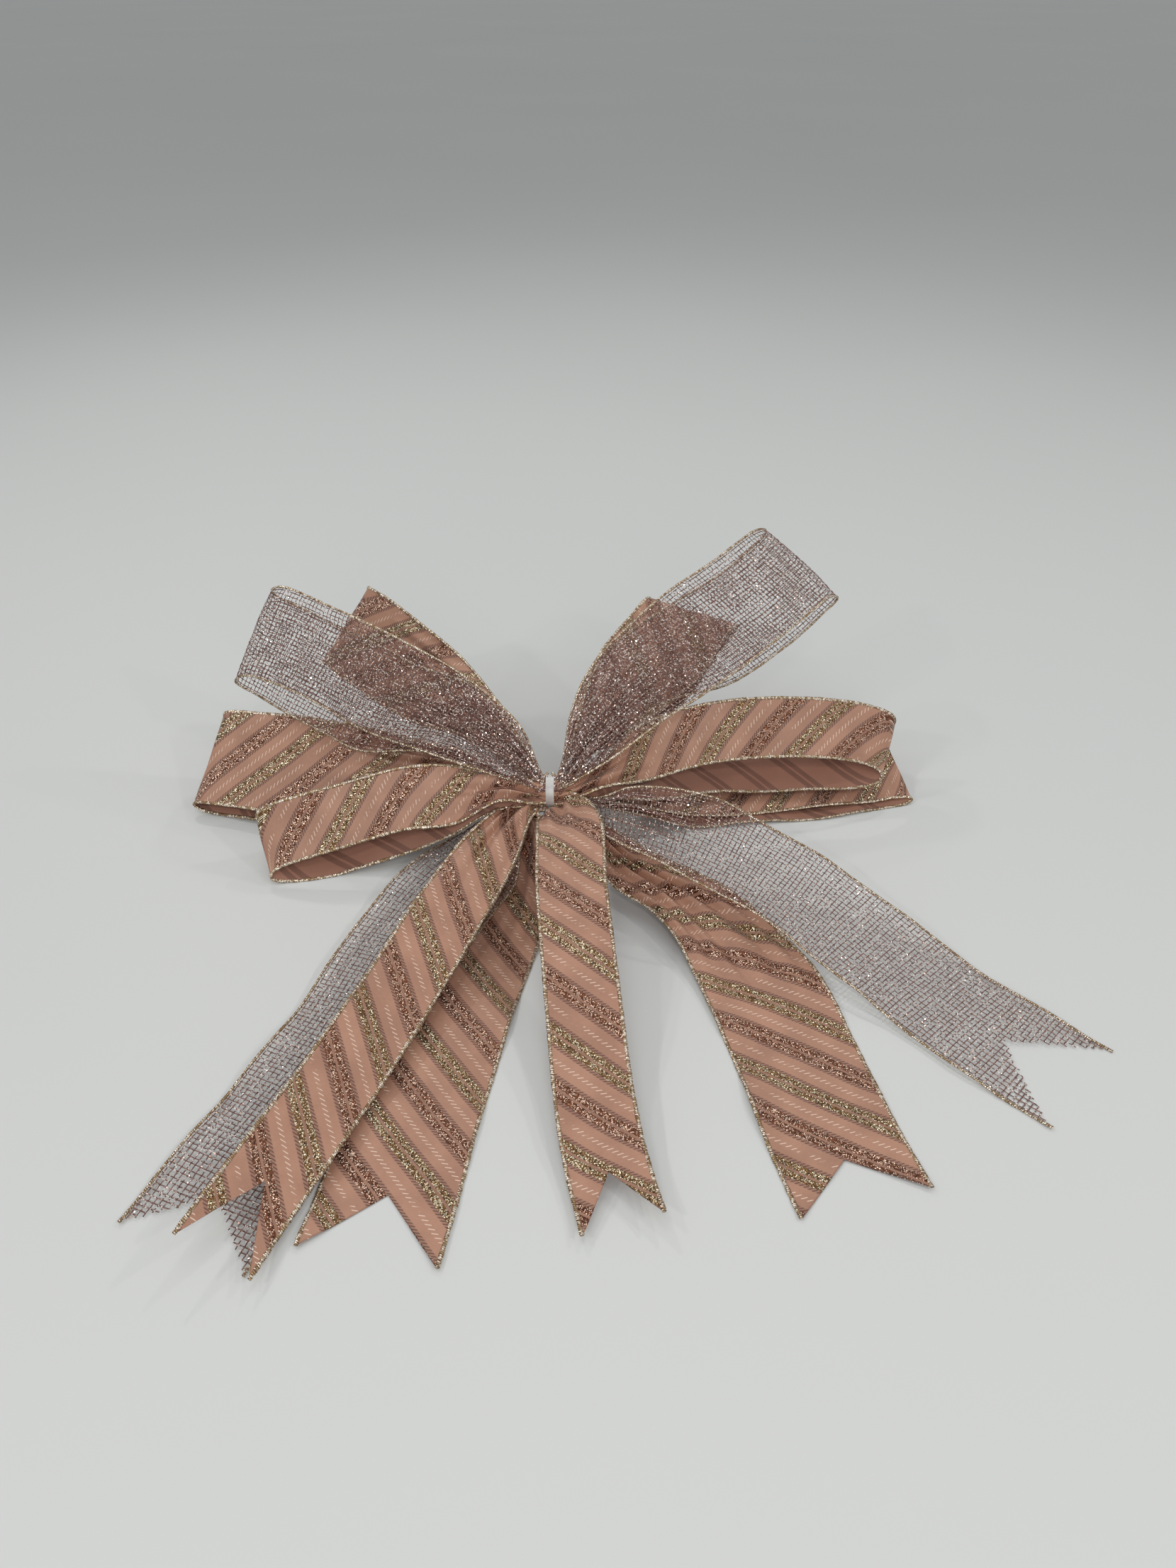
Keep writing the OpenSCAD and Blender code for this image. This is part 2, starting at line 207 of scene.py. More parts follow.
class Paint:
    """A principled material under construction."""

    def __init__(self, name):
        self.material = bpy.data.materials.new(name)
        self.material.use_nodes = True
        self.tree = self.material.node_tree
        self.shader = self.tree.nodes["Principled BSDF"]

    def link(self, source, target):
        self.tree.links.new(source.socket if isinstance(source, Field) else source, target)

    def place(self):
        """Where the point lies on the ribbon, in millimetres: (vector, across, along)."""
        uv = self.tree.nodes.new("ShaderNodeUVMap")
        uv.uv_map = "ribbon_mm"
        parts = self.tree.nodes.new("ShaderNodeSeparateXYZ")
        self.link(uv.outputs[0], parts.inputs[0])
        return uv.outputs[0], Field(self.tree, parts.outputs[0]), Field(self.tree, parts.outputs[1])

    def stretched(self, vector, scale):
        node = self.tree.nodes.new("ShaderNodeMapping")
        node.inputs["Scale"].default_value = scale
        self.link(vector, node.inputs["Vector"])
        return node.outputs[0]

    def noise(self, vector, scale, detail=2.0):
        node = self.tree.nodes.new("ShaderNodeTexNoise")
        node.inputs["Scale"].default_value = scale
        node.inputs["Detail"].default_value = detail
        self.link(vector, node.inputs["Vector"])
        return Field(self.tree, node.outputs[0])

    def flakes(self, vector, per_mm):
        """Cells of glitter: a random colour for each cell, and two random numbers."""
        node = self.tree.nodes.new("ShaderNodeTexVoronoi")
        node.inputs["Scale"].default_value = per_mm
        self.link(vector, node.inputs["Vector"])
        parts = self.tree.nodes.new("ShaderNodeSeparateXYZ")
        self.link(node.outputs["Color"], parts.inputs[0])
        return node.outputs["Color"], Field(self.tree, parts.outputs[0]), Field(self.tree, parts.outputs[1])

    def mix(self, share, a, b):
        """Colour a where share is 0, and b where it is 1."""
        node = self.tree.nodes.new("ShaderNodeMix")
        node.data_type = "RGBA"
        self.link(share, node.inputs[0])
        for port, value in ((node.inputs[6], a), (node.inputs[7], b)):
            if isinstance(value, tuple):
                port.default_value = (*value, 1)
            else:
                self.link(value, port)
        return node.outputs[2]

    def tilt_normal(self, random_colour, share, strength, below=None):
        """Turns the surface normal by a random amount in each flake, where share is 1."""
        middle = self.tree.nodes.new("ShaderNodeVectorMath")
        middle.operation = "SUBTRACT"
        middle.inputs[1].default_value = (0.5, 0.5, 0.5)
        self.link(random_colour, middle.inputs[0])
        scaled = self.tree.nodes.new("ShaderNodeVectorMath")
        scaled.operation = "SCALE"
        self.link(middle.outputs[0], scaled.inputs[0])
        self.link(share * strength, scaled.inputs["Scale"])
        total = self.tree.nodes.new("ShaderNodeVectorMath")
        total.operation = "ADD"
        if below is None:
            below = self.tree.nodes.new("ShaderNodeNewGeometry").outputs["Normal"]
        self.link(below, total.inputs[0])
        self.link(scaled.outputs[0], total.inputs[1])
        unit = self.tree.nodes.new("ShaderNodeVectorMath")
        unit.operation = "NORMALIZE"
        self.link(total.outputs[0], unit.inputs[0])
        self.link(unit.outputs[0], self.shader.inputs["Normal"])

    def bump(self, height, strength, distance):
        node = self.tree.nodes.new("ShaderNodeBump")
        node.inputs["Strength"].default_value = strength
        node.inputs["Distance"].default_value = distance
        self.link(height, node.inputs["Height"])
        return node.outputs[0]

    def set(self, **values):
        for name, value in values.items():
            self.shader.inputs[name.replace("_", " ")].default_value = value


# The woven pattern, in millimetres: pairs of glitter bands slant across the ribbon, with a
# plain line between the two, a row of dark weft ticks along each side, and pale dashes between
STRIPE_EVERY = 30.0
STRIPE_SLOPE = 0.92
STRIPE_ACROSS = 1 / math.hypot(1, STRIPE_SLOPE)
LINE_HALF = 0.6
BAND_OUTER = 4.2
TICK_OUTER = 6.0
TICK_EVERY = 1.4
TICK_T = 0.5
DASH_HALF = 1.05
DASH_EVERY = 1.9
DASH_T = 0.42
# Length along an edge of one winding of its thread
WIND_EVERY = 1.0

PEACH = (0.52, 0.28, 0.185)
# The darker peach of the weave's fine ribs and of the painted sheen patches on the satin
PEACH_RIBS_AND_SHEEN_SHADE = (0.33, 0.165, 0.11)
TICK = (0.10, 0.04, 0.032)
DASH = (0.88, 0.68, 0.55)
SHEEN_PINK = (1.0, 0.86, 0.80)
COPPER = (0.21, 0.075, 0.038)
GOLD = (0.25, 0.13, 0.05)
# Painted shade for glitter flakes turned from the lamps, and painted glints for the flakes that catch them
FLAKE_PAINTED_SHADE = (0.06, 0.027, 0.015)
PAINTED_GLINT_COPPER = (1.0, 0.72, 0.56)
PAINTED_GLINT_GOLD = (1.0, 0.90, 0.66)
REVERSE_LIGHT = (0.35, 0.165, 0.108)
REVERSE = (0.26, 0.112, 0.070)
REVERSE_DARK = (0.13, 0.05, 0.032)
REVERSE_TICK = (0.33, 0.16, 0.11)
NET_MAUVE = (0.30, 0.15, 0.12)
NET_MAUVE_DARK = (0.12, 0.052, 0.043)
NET_TWIST = (0.42, 0.26, 0.22)
NET_SPARK = (1.0, 0.90, 0.84)
EDGE_GOLD = (0.50, 0.35, 0.19)
EDGE_BROWN = (0.26, 0.15, 0.08)
# Painted shade in the grooves between the windings of the edge thread
EDGE_GROOVE_SHADE = (0.10, 0.05, 0.03)
EDGE_SPARK = (1.0, 0.90, 0.76)
FLAKE_SILVER = (0.95, 0.90, 0.87)
FLAKE_ROSE = (0.88, 0.62, 0.50)
NYLON_PALE = (0.80, 0.78, 0.75)
NYLON_GREY = (0.70, 0.68, 0.66)
FLOOR_PALE = (0.70, 0.715, 0.705)
FLOOR_GREY = (0.68, 0.70, 0.69)
# Cells of glitter to a millimetre on each kind of thread
BAND_FLAKES = 2.2
NET_FLAKES = 1.3
EDGE_FLAKES = 1.5
LOOSE_FLAKES = 0.9
# How far each cell of glitter turns from the surface
BAND_TILT = 0.85
NET_TILT = 0.8
EDGE_TILT = 0.7


def woven(p, vector):
    """Fine ribs of the weave, running across the ribbon."""
    return p.noise(p.stretched(vector, (0.35, 5.5, 1)), 1.0, 3.0)


def stripe_fields(along, across):
    """Distance from the middle of the nearest pair of bands in millimetres, and 0 or 1 for
    a pair of gold or copper bands."""
    phase = (along - across * STRIPE_SLOPE) / STRIPE_EVERY + 0.5
    distance = (phase.op("FRACT") - 0.5).absolute() * (STRIPE_EVERY * STRIPE_ACROSS)
    return distance, (phase * 0.5).op("FRACT").op("GREATER_THAN", 0.5)


def tick_field(along, distance):
    """The dark weft ticks in the fringes on both sides of a pair of bands."""
    line = along.from_middle_of(TICK_EVERY).ramp(TICK_T / 2 + 0.12, TICK_T / 2 - 0.1)
    inside = distance.ramp(TICK_OUTER + 0.15, TICK_OUTER - 0.15)
    return line * distance.ramp(BAND_OUTER - 0.1, BAND_OUTER + 0.1) * inside


def satin_face():
    """The glitter side of the satin."""
    p = Paint("satin_face")
    vector, across, along = p.place()
    distance, copper = stripe_fields(along, across)
    slow = p.noise(vector, 0.045)
    weave = woven(p, vector)
    grain = p.noise(p.stretched(vector, (2.5, 2.5, 1)), 1.0, 2.0)
    # The slow patches are painted sheen, lighter and darker across the satin; the fine ribs are the weave's
    # own
    base = p.mix(weave.ramp(0.25, 0.75) * 0.35 + slow.ramp(0.3, 0.7) * 0.45, PEACH, PEACH_RIBS_AND_SHEEN_SHADE)
    ticks = tick_field(along, distance)
    fringe = distance.ramp(TICK_OUTER + 0.4, TICK_OUTER - 0.6) * 0.3
    base = p.mix(fringe, base, TICK)
    base = p.mix(ticks * (grain * 0.4 + 0.65), base, TICK)
    far = distance * -1.0 + STRIPE_EVERY * STRIPE_ACROSS / 2
    dash_rows = along.from_middle_of(DASH_EVERY).ramp(DASH_T / 2 + 0.1, DASH_T / 2 - 0.1)
    patchy = p.noise(vector, 0.11).ramp(0.36, 0.47)
    dashes = dash_rows * far.ramp(DASH_HALF + 0.12, DASH_HALF - 0.12) * patchy
    base = p.mix(dashes * 0.85, base, DASH)
    ragged = distance + (grain - 0.5) * 0.8
    band = ragged.ramp(BAND_OUTER + 0.1, BAND_OUTER - 0.2) * ragged.ramp(LINE_HALF - 0.1, LINE_HALF + 0.15)
    colour, chance, tone = p.flakes(vector, BAND_FLAKES)
    metal = p.mix(copper, GOLD, COPPER)
    # Dark cells are painted shade and the rare bright cells are painted glints, so the bands glitter by
    # colour alone
    metal = p.mix(tone.ramp(0.5, 0.85), metal, FLAKE_PAINTED_SHADE)
    metal = p.mix(chance.ramp(0.75, 0.78), metal, p.mix(copper, PAINTED_GLINT_GOLD, PAINTED_GLINT_COPPER))
    p.link(p.mix(band, base, metal), p.shader.inputs["Base Color"])
    p.link(band * 0.75, p.shader.inputs["Metallic"])
    p.link(band * -0.18 + 0.46, p.shader.inputs["Roughness"])
    cloth = p.bump(weave * 0.5 + band * (chance * 1.5 + 1.0), 0.35, 0.0003)
    p.tilt_normal(colour, band, BAND_TILT, cloth)
    p.set(Sheen_Weight=0.25, Sheen_Roughness=0.4, Sheen_Tint=(*SHEEN_PINK, 1), Anisotropic=0.35)
    return p.material


def satin_reverse():
    """The matt back of the satin, where the bands only show through."""
    p = Paint("satin_reverse")
    vector, across, along = p.place()
    distance, _ = stripe_fields(along, across)
    weave = woven(p, vector)
    slow = p.noise(vector, 0.05)
    base = p.mix(weave * 0.5 + slow.ramp(0.3, 0.7) * 0.3, REVERSE_LIGHT, REVERSE)
    ghost = distance.ramp(BAND_OUTER + 0.4, BAND_OUTER - 0.6)
    ghost = ghost * distance.ramp(LINE_HALF - 0.2, LINE_HALF + 0.4)
    base = p.mix(ghost * (weave * 0.4 + 0.45), base, REVERSE_DARK)
    ticks = tick_field(along, distance)
    base = p.mix(ticks * 0.35, base, REVERSE_TICK)
    p.link(base, p.shader.inputs["Base Color"])
    p.link(p.bump(weave, 0.4, 0.0002), p.shader.inputs["Normal"])
    p.set(Roughness=0.62, Sheen_Weight=0.2, Sheen_Roughness=0.5)
    return p.material


def net_thread():
    """The mauve metallic thread of the net."""
    p = Paint("net_thread")
    vector, across, along = p.place()
    colour, chance, tone = p.flakes(vector, NET_FLAKES)
    twist = (along + across).from_middle_of(0.9).ramp(0.1, 0.35)
    base = p.mix(tone.ramp(0.3, 0.8), NET_MAUVE_DARK, NET_MAUVE)
    base = p.mix(twist * 0.2, base, NET_TWIST)
    shiny = chance.ramp(0.80, 0.84)
    base = p.mix(shiny, base, NET_SPARK)
    p.link(base, p.shader.inputs["Base Color"])
    p.link(shiny * 0.75 + 0.05, p.shader.inputs["Metallic"])
    p.tilt_normal(colour, shiny, NET_TILT)
    p.set(Roughness=0.42)
    return p.material


def binding_thread():
    """The gold thread wound round every edge."""
    p = Paint("binding_thread")
    vector, around, along = p.place()
    turns = (along + around * 0.32).from_middle_of(WIND_EVERY)
    groove = turns.ramp(0.30, 0.52)
    colour, chance, tone = p.flakes(vector, EDGE_FLAKES)
    base = p.mix(tone, EDGE_GOLD, EDGE_BROWN)
    # Painted shade darkens the grooves between the windings
    base = p.mix(groove, base, EDGE_GROOVE_SHADE)
    shiny = chance.ramp(0.56, 0.62)
    base = p.mix(shiny * groove.inverse(), base, EDGE_SPARK)
    p.link(base, p.shader.inputs["Base Color"])
    p.link(groove.inverse() * 0.8, p.shader.inputs["Metallic"])
    p.tilt_normal(colour, shiny, EDGE_TILT, p.bump(groove.inverse(), 0.6, 0.0003))
    p.set(Roughness=0.3)
    return p.material


def glitter_flake():
    """A loose flake of glitter on the net."""
    p = Paint("glitter_flake")
    vector, _, _ = p.place()
    _, chance, tone = p.flakes(vector, LOOSE_FLAKES)
    base = p.mix(tone.ramp(0.3, 0.8), FLAKE_SILVER, FLAKE_ROSE)
    p.link(base, p.shader.inputs["Base Color"])
    p.link(chance * 0.2 + 0.12, p.shader.inputs["Roughness"])
    p.set(Metallic=0.9)
    return p.material


def nylon():
    """The natural nylon of the cable tie."""
    p = Paint("natural_nylon")
    where = p.tree.nodes.new("ShaderNodeNewGeometry").outputs["Position"]
    cloudy = p.noise(where, 260.0)
    fine = p.noise(where, 2400.0)
    p.link(p.mix(cloudy.ramp(0.3, 0.7), NYLON_PALE, NYLON_GREY), p.shader.inputs["Base Color"])
    p.link(fine * 0.12 + 0.26, p.shader.inputs["Roughness"])
    p.link(p.bump(fine, 0.15, 0.0001), p.shader.inputs["Normal"])
    p.set(IOR=1.53, Transmission_Weight=0.25, Subsurface_Weight=0.25, Subsurface_Scale=0.001)
    return p.material


def floor_material():
    """The pale surface the bow lies on."""
    p = Paint("pale_floor")
    where = p.tree.nodes.new("ShaderNodeNewGeometry").outputs["Position"]
    p.link(p.mix(p.noise(where, 1.2).ramp(0.3, 0.7), FLOOR_GREY, FLOOR_PALE), p.shader.inputs["Base Color"])
    p.set(Roughness=0.55)
    return p.material


SATIN_FACE, SATIN_REVERSE = satin_face(), satin_reverse()
THREAD, BINDING, FLAKE, NYLON = net_thread(), binding_thread(), glitter_flake(), nylon()


# ---------------------------------------------------------------- ribbons
# Each station: the middle of the ribbon [x, y, z], compass angle and rise of the line across
# it, its spread as a share of the full width, and the height of its arch.

STATIONS = {
    "left_front_loop": [
        [-7, -3.5, 47, 90, 55, .40, 0], [-28, -1, 47.5, 90, 14, .62, 0], [-56, 0, 42, 88, 36, .97, 0],
        [-86, -1, 40, 90, 52, 1, 0], [-125, -7, 31, 98, 53, 1, 0], [-158, -14, 24, 110, 48, 1, 0],
        [-168, -17, 18.3, 112, 43, 1, 0], [-163.5, -16, 12.6, 110, 38, 1, 0], [-140, -10, 8, 104, 22, 1, 0],
        [-115, -4, 12, 96, 30, 1, 0], [-84, 0, 22, 92, 38, 1, 0], [-56, -1, 34.5, 90, 28, .97, 0],
        [-28, -1, 44, 90, 10, .60, 0], [-7, -4, 44.5, 90, 45, .34, 0]],
    "left_back_loop": [
        [-8.5, 2.5, 43.5, 90, 0, .10, 0], [-28, 11, 42, 90, 6, .25, 0], [-58, 31, 38, 88, 28, .44, 0],
        [-97, 35, 34, 84, 36, .78, 0], [-142, 42, 31, 81, 39, 1, 0], [-190, 54, 30, 77, 38, 1, 0],
        [-212, 60, 28, 76, 37, 1, 0], [-218, 62, 24, 76, 36, 1, 0], [-208, 60, 20, 77, 34, 1, 0],
        [-180, 54, 18.5, 79, 32, 1, 0], [-142, 45, 19, 81, 30, 1, 0], [-98, 38, 22, 84, 28, .78, 0],
        [-59, 31, 31.5, 88, 24, .44, 0], [-28, 11, 38.6, 90, 4, .25, 0], [-8.5, 2.5, 42.1, 90, 0, .10, 0]],
    "left_upper_loop": [
        [-8.5, 1, 49.2, 90, 0, .10, 0], [-13, 8, 51.2, 62, 4, .15, 0], [-19, 23, 54, 50, 18, .25, 0],
        [-45, 58, 59, 38, 40, .5, 0], [-80, 91, 63, 30, 50, .88, 0], [-118, 124, 72, 20, 54, 1, 0],
        [-136, 141, 76, 16, 54, 1, 0], [-139, 147, 73, 16, 54, 1, 0], [-130, 146, 66, 18, 53, 1, 0],
        [-90, 110, 56, 30, 48, .88, 0], [-51, 68, 54, 38, 38, .5, 0], [-20, 25, 51, 50, 14, .25, 0],
        [-13.5, 10, 50, 62, 5, .15, 0], [-8.5, 1.5, 47.9, 90, 0, .10, 0]],
    "left_mesh_loop": [
        [-5, 0, 51.5, 84, 50, .15, 0], [-22, 12, 64, 66, 38, .50, 0], [-58, 30, 76, 45, 48, .76, 0],
        [-101, 51, 86, 33, 58, .94, 0], [-147, 77, 96, 29, 60, .92, 0], [-176, 92, 99, 29, 60, .96, 0],
        [-188, 100, 93, 29, 60, 1, 0], [-186, 103, 86, 29, 59, 1, 0], [-174, 98, 82, 29, 57, 1, 0],
        [-151, 82, 79, 30, 53, 1, 0], [-122, 63, 75, 33, 49, 1, 0], [-98, 53, 68, 36, 46, .97, 0],
        [-60, 44, 66, 46, 36, .76, 0], [-26, 18, 59, 66, 24, .46, 0], [-6, 1.5, 51, 88, 30, .18, 0]],
    "right_mesh_loop": [
        [5, 0, 51.5, 96, 50, .15, 0], [20, 17, 69, 124, 26, .56, 0], [45, 42, 86, 142, 26, .85, 0],
        [86, 79, 102, 150, 32, 1, 0], [128, 118, 114, 152, 33, 1, 0], [151, 142, 120, 152, 33, 1, 0],
        [161, 154, 117, 152, 33, 1, 0], [162, 160, 110, 152, 33, 1, 0], [153, 156, 102, 152, 33, 1, 0],
        [128, 134, 91, 150, 33, 1, 0], [88, 103, 81, 148, 32, 1, 0], [46, 68, 77, 140, 22, .7, 0],
        [24, 26, 62, 128, 18, .46, 0], [6, 1.5, 51, 92, 30, .18, 0]],
    "right_upper_loop": [
        [8.5, 1, 49.3, 90, 0, .10, 0], [13.5, 9, 52, 125, 4, .16, 0], [17, 34, 56, 150, 6, .3, 0],
        [37, 67, 60, 155, 10, .7, 0], [61, 105, 68, 165, 14, 1, 0], [81, 137, 78, 169, 14, 1, 0],
        [90, 151, 81, 169, 14, 1, 0], [93, 157, 78, 169, 14, 1, 0], [88, 154, 72, 169, 14, 1, 0],
        [76, 136, 65, 168, 14, 1, 0], [54, 100, 56, 162, 13, 1, 0], [32, 64, 53, 150, 10, .7, 0],
        [16, 34, 51, 150, 5, .3, 0], [12.5, 10, 50, 125, 3, .16, 0], [8.5, 1.5, 47.9, 90, 0, .10, 0]],
    "right_front_loop": [
        [7, -3, 47, 90, 55, .40, 0], [28, 11, 48.5, 92, 20, .60, 0], [56, 30, 52, 92, 42, .97, 0],
        [94, 48, 53, 91, 52, 1, 0], [136, 57, 52, 89, 54, 1, 0], [178, 62, 47, 80, 50, 1, 0],
        [203, 64, 40, 72, 47, 1, 0], [212, 64, 32, 70, 44, 1, 0], [206, 63, 25, 76, 34, 1, 0],
        [188, 61, 22, 82, 26, 1, 0], [150, 60, 21, 86, 22, 1, 0], [100, 54, 23, 88, 22, 1, 0],
        [60, 32, 34, 90, 20, .97, 0], [28, 11, 43.5, 90, 8, .58, 0], [7, -4, 44.5, 90, 45, .34, 0]],
    "right_low_loop": [
        [8.5, 3.5, 43.5, 90, 0, .10, 0], [27, 13, 37.5, 90, 4, .3, 0], [55, 34, 23, 92, 10, .6, 0],
        [90, 54, 13, 93, 14, .9, 0], [135, 64, 12, 94, 15, 1, 0], [180, 71, 13, 97, 16, 1, 0],
        [210, 76, 17, 104, 24, 1, 0], [220, 76, 17, 106, 27, 1, 0], [216, 74, 12, 103, 20, 1, 0],
        [196, 70, 6.5, 98, 10, 1, 0], [166, 62, 3.2, 94, 4, 1, 0], [128, 58, 2.2, 92, 2, 1, -.5],
        [88, 48, 5, 92, 4, .9, 0], [54, 31, 17, 92, 6, .6, 0], [27, 12, 33, 90, 3, .3, 0],
        [8.5, 3.5, 42.1, 90, 0, .10, 0]],
    "left_mesh_tail": [
        [-7, -4.5, 40, -90, -30, .16, 0], [-15, -5, 37, -78, -6, .30, 0], [-26, -12, 27, -55, 0, .56, 0],
        [-41, -27, 14, -35, -1, .90, 0], [-58, -48, 9, -18, -1, 1, 0], [-76, -85, 6.4, -20, 0, 1, 0],
        [-95, -140, 4.4, -24, 0, 1, 0], [-116, -190, 3.4, -28, 0, 1, 0], [-134, -228, 2.6, -30, 0, 1, 0],
        [-150, -266, 2, -32, 0, 1, 0]],
    "left_tail": [
        [-7, -6, 41, -90, -45, .30, 0], [-13, -8, 41, -72, -14, .48, 0], [-22, -18, 38.5, -42, -10, .62, 0],
        [-34, -44, 35, -26, -14, .90, 0], [-54, -86, 25, -26, -20, 1, 0], [-73, -130, 17, -26, -20, 1, 0],
        [-91, -176, 14, -24, -22, 1, 0], [-106, -213, 13, -25, -22, 1, 0], [-119, -244, 12.5, -26, -22, 1, 0],
        [-132, -277, 12, -28, -22, 1, 0]],
    "left_under_tail": [
        [-7, -2, 38.2, -90, 0, .14, 0], [-12, -6, 35, -70, 0, .36, 0], [-14, -15, 25, -34, 0, .68, 0],
        [-24, -38, 8, -20, 0, .92, 0], [-36, -78, 1.2, -14, 0, 1, -.3], [-46, -122, 1, -11, 0, 1, -.5],
        [-54, -165, 1, -10, 0, 1, -.5], [-61, -205, 1, -10, 0, 1, -.5], [-66, -240, 1, -10, 0, 1, -.5],
        [-71, -270, 1, -10, 0, 1, -.5]],
    "centre_tail": [
        [6, -6.5, 40.5, 90, 40, .32, 0], [7.5, -9, 42, 46, 12, .56, 0], [9, -20, 45, 14, 5, .88, 0],
        [12, -42, 48, 8, 4, 1, 0], [13, -76, 43, 2, 4, 1, 0], [16, -112, 36, 4, 4, 1, 0],
        [20, -150, 23, 4, 5, 1, 0], [24, -188, 13, 2, 5, 1, 0], [29, -222, 8, 2, 6, 1, 0],
        [37, -258, 7.5, 4, 8, 1, 0]],
    "right_tail": [
        [7, -3, 38.2, 90, 10, .14, 0], [14, -6.5, 35, 70, 0, .22, 0], [25, -18, 28.5, 45, 0, .32, 0],
        [44, -37, 20, 32, 2, .5, 0], [70, -54, 15, 18, 0, .62, 0], [95, -80, 9, 5, -3, .84, 0],
        [114, -118, 3, -6, -1, 1, 0], [125, -160, 1.2, -8, 0, 1, -.4], [133, -200, 1, -10, 0, 1, -.5],
        [144, -244, 1, -8, 0, 1, -.5]],
    "right_mesh_tail": [
        [7, -4.5, 40, 90, 20, .16, 0], [15, -7, 40, 78, 6, .26, 0], [27, -15, 41, 64, 6, .48, 0],
        [48, -22, 44, 70, 8, .75, 0], [86, -34, 38, 62, 4, 1, 0], [120, -50, 28, 56, 2, 1, 0],
        [158, -76, 15, 50, 0, 1, 0], [194, -112, 5, 44, 0, 1, 0], [226, -148, 2, 41, 0, 1, 0],
        [260, -181, 1.4, 40, 0, 1, 0]],
}

# Kind of ribbon, depth of its V cut, pleats across it at the tie, and seed of its wrinkles
RIBBONS = {
    "left_front_loop": ("narrow", 0, 5, 2),
    "left_back_loop": ("wide", 0, 9, 3),
    "left_upper_loop": ("wide", 0, 9, 4),
    "left_mesh_loop": ("net", 0, 7, 5),
    "right_mesh_loop": ("net", 0, 7, 6),
    "right_upper_loop": ("wide", 0, 9, 7),
    "right_front_loop": ("narrow", 0, 5, 8),
    "right_low_loop": ("wide", 0, 9, 9),
    "left_mesh_tail": ("net", 26, 7, 10),
    "left_tail": ("narrow", 39, 5, 11),
    "left_under_tail": ("wide", 31, 9, 12),
    "centre_tail": ("narrow", 26, 5, 13),
    "right_tail": ("wide", 23.5, 9, 14),
    "right_mesh_tail": ("net", 41.5, 7, 15),
}
WIDTHS = {"wide": WIDE, "narrow": NARROW, "net": NET}
# Fine steps between two stations
FINE_STEPS = 24
# How far from the middle of the tie a ribbon's ends are tucked in
INSIDE_TIE = 1.5
# Height of the pleats at the tie, how fast it grows with distance, and the most it can be
PLEAT_ROOT = 1.1
PLEAT_GROWTH = 0.07
PLEAT_MOST = 2.6
# Heights of the small creases and of the long waves
CREASE = 0.3
WAVE = 0.8
# Least height of the cloth's face above the floor
ABOVE_FLOOR = 0.3
# The cloth: distance between its rows of points, points across it, and how far under the
# binding it reaches, as a share of the binding's width
ROW_EVERY = 1.2
COLUMNS = {"wide": 49, "narrow": 33}
UNDER_BINDING = 0.6


def unit(v):
    return v / np.linalg.norm(v, axis=-1, keepdims=True)


def smooth(stations, steps):
    """Catmull-Rom curve through the stations."""
    s = np.vstack([stations[0], stations, stations[-1]])
    rows = []
    for a, b, c, d in zip(s, s[1:], s[2:], s[3:]):
        for t in np.arange(steps) / steps:
            rows.append(0.5 * (2 * b + (c - a) * t + (2 * a - 5 * b + 4 * c - d) * t**2
                               + (3 * b - a - 3 * c + d) * t**3))
    return np.array(rows + [stations[-1]])


def tucked(station):
    """The same station moved to just inside the tie."""
    return np.concatenate([[math.copysign(INSIDE_TIE, station[0])], station[1:]])


